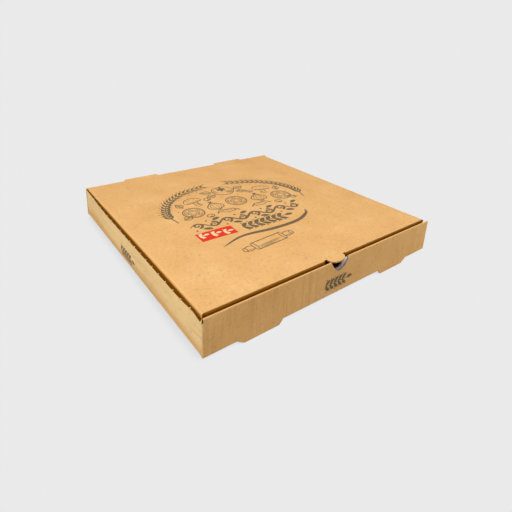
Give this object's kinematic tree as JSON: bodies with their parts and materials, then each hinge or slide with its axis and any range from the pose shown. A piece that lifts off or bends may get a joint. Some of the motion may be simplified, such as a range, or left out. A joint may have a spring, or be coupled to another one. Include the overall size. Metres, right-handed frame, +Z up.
{
  "type": "pizza box",
  "caption": "Square corrugated pizza box, shut: a shallow tray with a rolled-over, tab-locked front wall and thumb notch, and a lid hinged at the rear with tuck flaps and a thumb tongue.",
  "frame": {"origin": "on the surface that the box stands on, under the middle of the shut box", "axes": "+Z up, +X to the right of somebody who faces the front wall, +Y from the front wall towards the hinge"},
  "size_m": [0.3346, 0.3365, 0.045],
  "materials": {
    "kraft_board": "matte"
  },
  "bodies": {
    "tray": {"tray": "kraft_board"},
    "lid": {"lid": "kraft_board"}
  },
  "joints": [
    {"name": "lid_hinge", "type": "hinge", "parent": "tray", "child": "lid", "pos_m": [0, 0.165, 0.045], "axis": [-1, 0, 0], "range_deg": [0, 180]}
  ]
}
